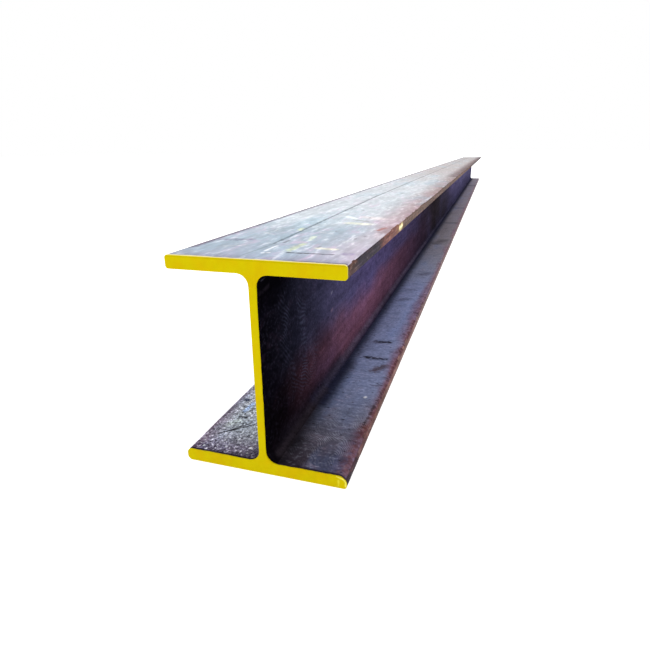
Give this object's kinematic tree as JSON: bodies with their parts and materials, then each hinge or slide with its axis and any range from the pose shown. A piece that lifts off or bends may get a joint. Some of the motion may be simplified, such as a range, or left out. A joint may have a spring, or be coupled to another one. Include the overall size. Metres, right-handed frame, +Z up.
{
  "type": "steel h-beam",
  "caption": "Hot-rolled wide-flange steel beam: parallel flanges on a thin web, sawn to stock length, for columns, girders and frames.",
  "frame": {"origin": "middle of the underside of the bottom flange, halfway along the beam", "axes": "+Z up, at right angles to the flanges; +Y along the beam, away from the painted end; +X across the flanges"},
  "size_m": [0.204, 6, 0.257],
  "materials": {
    "rolled_steel": "matte"
  },
  "bodies": {
    "root": {"h_beam": "rolled_steel"}
  },
  "joints": []
}
